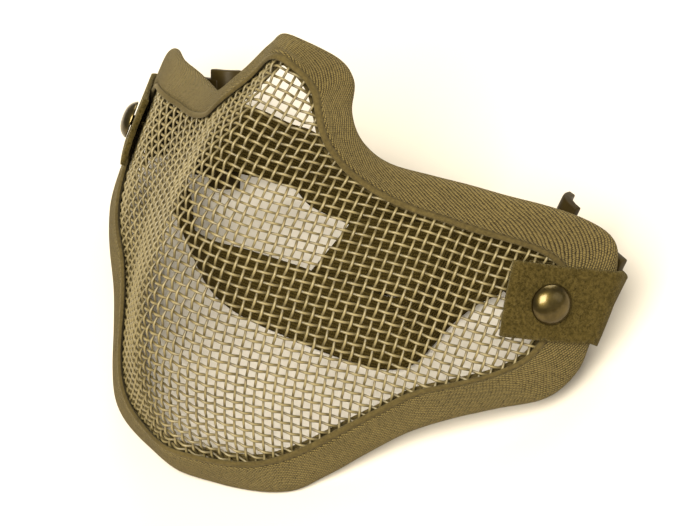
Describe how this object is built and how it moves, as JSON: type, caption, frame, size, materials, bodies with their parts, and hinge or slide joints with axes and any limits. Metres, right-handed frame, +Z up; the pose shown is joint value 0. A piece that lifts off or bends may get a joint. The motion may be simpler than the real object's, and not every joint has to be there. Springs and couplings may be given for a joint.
{
  "type": "mesh face mask",
  "caption": "Half-face mask of pressed wire mesh with a folded fabric binding, riveted loop-tape tabs, ladder-lock buckles and an elastic head strap.",
  "frame": {"origin": "middle of the box's underside, on the surface the mask rests on", "axes": "+X towards the wearer's left, -Y the way the nose and chin face once the mask is leaned back, +Z up"},
  "size_m": [0.1656, 0.1122, 0.0866],
  "materials": {
    "wire_mesh": "woven steel wire with a satin tan coat",
    "binding_tape": "matte khaki twill",
    "loop_tape": "matte brushed loops",
    "rivet_metal": "polished dark bronze coat",
    "buckle_plastic": "satin dark olive",
    "elastic": "matte ribbed weave"
  },
  "bodies": {
    "root": {"mesh_shell": "wire_mesh", "edge_binding": "binding_tape", "strap_tab_left": "loop_tape", "strap_tab_right": "loop_tape", "rivet_left": "rivet_metal", "rivet_right": "rivet_metal", "buckle_left": "buckle_plastic", "buckle_right": "buckle_plastic", "head_strap": "elastic"}
  },
  "joints": []
}
